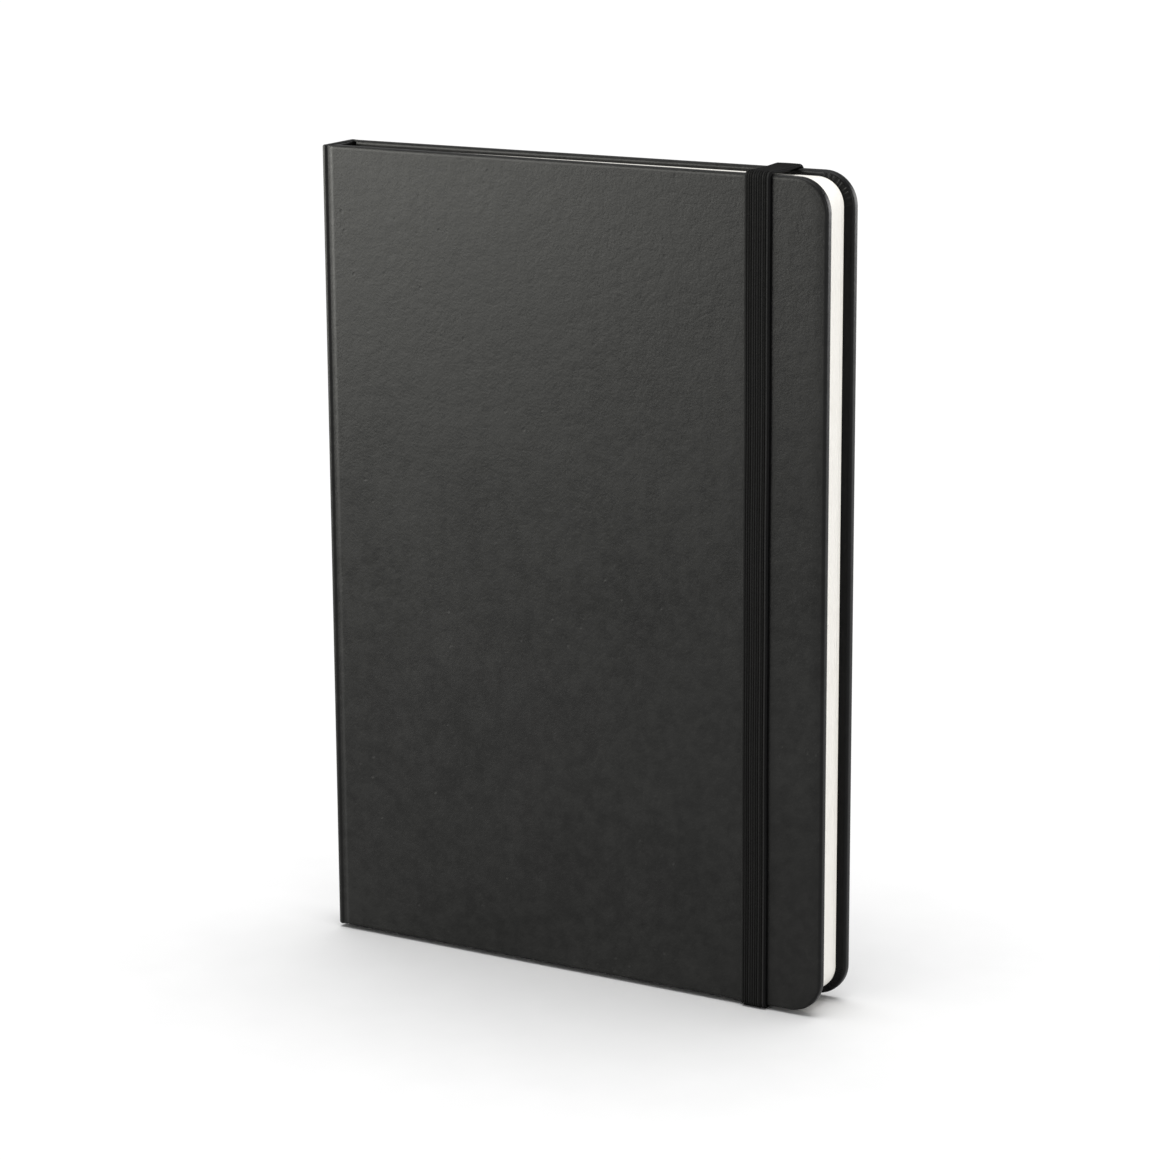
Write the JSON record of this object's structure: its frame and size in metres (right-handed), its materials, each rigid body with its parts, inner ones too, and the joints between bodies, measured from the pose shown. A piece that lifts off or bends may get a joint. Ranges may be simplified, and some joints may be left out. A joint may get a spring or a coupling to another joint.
{
  "type": "hard-cover sketchbook",
  "caption": "Case-bound sketchbook with rounded fore-edge corners, sewn drawing paper and an elastic band that holds it shut.",
  "frame": {"origin": "under the middle of the closed book, on the lowest face of the elastic band", "axes": "+Z from the tail to the head, -Y out of the front cover, +X towards the fore-edge"},
  "size_m": [0.145, 0.019, 0.212],
  "materials": {
    "leatherette": "smooth satin black",
    "board": "matte grey board",
    "endpaper": "matte warm off-white",
    "paper": "matte off-white",
    "gauze": "open weave",
    "lining": "matte kraft",
    "thread": "twisted linen",
    "elastic": "ribbed woven elastic"
  },
  "bodies": {
    "root": {"back_board": "board", "back_cover_wrap": "leatherette", "back_pastedown": "endpaper", "back_joint_wrap": "leatherette", "spine_wrap": "leatherette", "spine_stiffener": "board", "spine_gauze": "gauze", "spine_lining": "lining", "front_joint_wrap": "leatherette", "sewing_thread_1": "thread", "sewing_thread_2": "thread", "sewing_thread_3": "thread", "sewing_thread_4": "thread", "sewing_thread_5": "thread", "elastic_head_turn": "elastic", "elastic_tail_turn": "elastic", "elastic_head_end": "elastic", "elastic_tail_end": "elastic"},
    "front_cover": {"front_board": "board", "front_cover_wrap": "leatherette", "front_pastedown": "endpaper"},
    "elastic_band": {"elastic_front_run": "elastic"},
    "front_flyleaf_sheet": {"front_flyleaf": "endpaper"},
    "signature_01_leaf": {"signature_01": "paper"},
    "signature_02_leaf": {"signature_02": "paper"},
    "signature_03_leaf": {"signature_03": "paper"},
    "signature_04_leaf": {"signature_04": "paper"},
    "signature_05_leaf": {"signature_05": "paper"},
    "signature_06_leaf": {"signature_06": "paper"},
    "signature_07_leaf": {"signature_07": "paper"},
    "signature_08_leaf": {"signature_08": "paper"},
    "signature_09_leaf": {"signature_09": "paper"},
    "signature_10_leaf": {"signature_10": "paper"},
    "signature_11_leaf": {"signature_11": "paper"},
    "signature_12_leaf": {"signature_12": "paper"},
    "back_flyleaf_sheet": {"back_flyleaf": "endpaper"}
  },
  "joints": [
    {"name": "front_cover_hinge", "type": "hinge", "parent": "root", "child": "front_cover", "pos_m": [-0.0702, -0.00708, 0.106], "axis": [0, 0, -1], "range_deg": [0, 178], "deforming": ["front_joint_wrap"]},
    {"name": "front_flyleaf_turn", "type": "hinge", "parent": "root", "child": "front_flyleaf_sheet", "pos_m": [-0.0689, -0.0039, 0.106], "axis": [0, 0, -1], "range_deg": [0, 103.4]},
    {"name": "signature_01_turn", "type": "hinge", "parent": "root", "child": "signature_01_leaf", "pos_m": [-0.0689, -0.0039, 0.106], "axis": [0, 0, -1], "range_deg": [0, 95.9]},
    {"name": "signature_02_turn", "type": "hinge", "parent": "root", "child": "signature_02_leaf", "pos_m": [-0.0689, -0.0039, 0.106], "axis": [0, 0, -1], "range_deg": [0, 88.3]},
    {"name": "signature_03_turn", "type": "hinge", "parent": "root", "child": "signature_03_leaf", "pos_m": [-0.0689, -0.0039, 0.106], "axis": [0, 0, -1], "range_deg": [0, 80.8]},
    {"name": "signature_04_turn", "type": "hinge", "parent": "root", "child": "signature_04_leaf", "pos_m": [-0.0689, -0.0039, 0.106], "axis": [0, 0, -1], "range_deg": [0, 73.3]},
    {"name": "signature_05_turn", "type": "hinge", "parent": "root", "child": "signature_05_leaf", "pos_m": [-0.0689, -0.0039, 0.106], "axis": [0, 0, -1], "range_deg": [0, 65.7]},
    {"name": "signature_06_turn", "type": "hinge", "parent": "root", "child": "signature_06_leaf", "pos_m": [-0.0689, -0.0039, 0.106], "axis": [0, 0, -1], "range_deg": [0, 58.2]},
    {"name": "signature_07_turn", "type": "hinge", "parent": "root", "child": "signature_07_leaf", "pos_m": [-0.0689, -0.0039, 0.106], "axis": [0, 0, -1], "range_deg": [0, 50.7]},
    {"name": "signature_08_turn", "type": "hinge", "parent": "root", "child": "signature_08_leaf", "pos_m": [-0.0689, -0.0039, 0.106], "axis": [0, 0, -1], "range_deg": [0, 43.1]},
    {"name": "signature_09_turn", "type": "hinge", "parent": "root", "child": "signature_09_leaf", "pos_m": [-0.0689, -0.0039, 0.106], "axis": [0, 0, -1], "range_deg": [0, 35.6]},
    {"name": "signature_10_turn", "type": "hinge", "parent": "root", "child": "signature_10_leaf", "pos_m": [-0.0689, -0.0039, 0.106], "axis": [0, 0, -1], "range_deg": [0, 28.1]},
    {"name": "signature_11_turn", "type": "hinge", "parent": "root", "child": "signature_11_leaf", "pos_m": [-0.0689, -0.0039, 0.106], "axis": [0, 0, -1], "range_deg": [0, 20.5]},
    {"name": "signature_12_turn", "type": "hinge", "parent": "root", "child": "signature_12_leaf", "pos_m": [-0.0689, -0.0039, 0.106], "axis": [0, 0, -1], "range_deg": [0, 13]},
    {"name": "back_flyleaf_turn", "type": "hinge", "parent": "root", "child": "back_flyleaf_sheet", "pos_m": [-0.0689, -0.0039, 0.106], "axis": [0, 0, -1], "range_deg": [0, 5.5]},
    {"name": "elastic_band_release", "type": "slide", "parent": "root", "child": "elastic_band", "axis": [0, 1, 0], "range_m": [0, 0.0191], "deforming": ["elastic_front_run", "elastic_head_turn", "elastic_tail_turn"]}
  ],
  "couplings": [
    {"joint": "front_flyleaf_turn", "follows": "front_cover_hinge", "ratio": 0.58},
    {"joint": "signature_01_turn", "follows": "front_cover_hinge", "ratio": 0.5377},
    {"joint": "signature_02_turn", "follows": "front_cover_hinge", "ratio": 0.4954},
    {"joint": "signature_03_turn", "follows": "front_cover_hinge", "ratio": 0.4531},
    {"joint": "signature_04_turn", "follows": "front_cover_hinge", "ratio": 0.4108},
    {"joint": "signature_05_turn", "follows": "front_cover_hinge", "ratio": 0.3685},
    {"joint": "signature_06_turn", "follows": "front_cover_hinge", "ratio": 0.3262},
    {"joint": "signature_07_turn", "follows": "front_cover_hinge", "ratio": 0.2838},
    {"joint": "signature_08_turn", "follows": "front_cover_hinge", "ratio": 0.2415},
    {"joint": "signature_09_turn", "follows": "front_cover_hinge", "ratio": 0.1992},
    {"joint": "signature_10_turn", "follows": "front_cover_hinge", "ratio": 0.1569},
    {"joint": "signature_11_turn", "follows": "front_cover_hinge", "ratio": 0.1146},
    {"joint": "signature_12_turn", "follows": "front_cover_hinge", "ratio": 0.0723},
    {"joint": "back_flyleaf_turn", "follows": "front_cover_hinge", "ratio": 0.03},
    {"joint": "elastic_band_release", "follows": "front_cover_hinge", "m_per_rad": 0.006148}
  ]
}
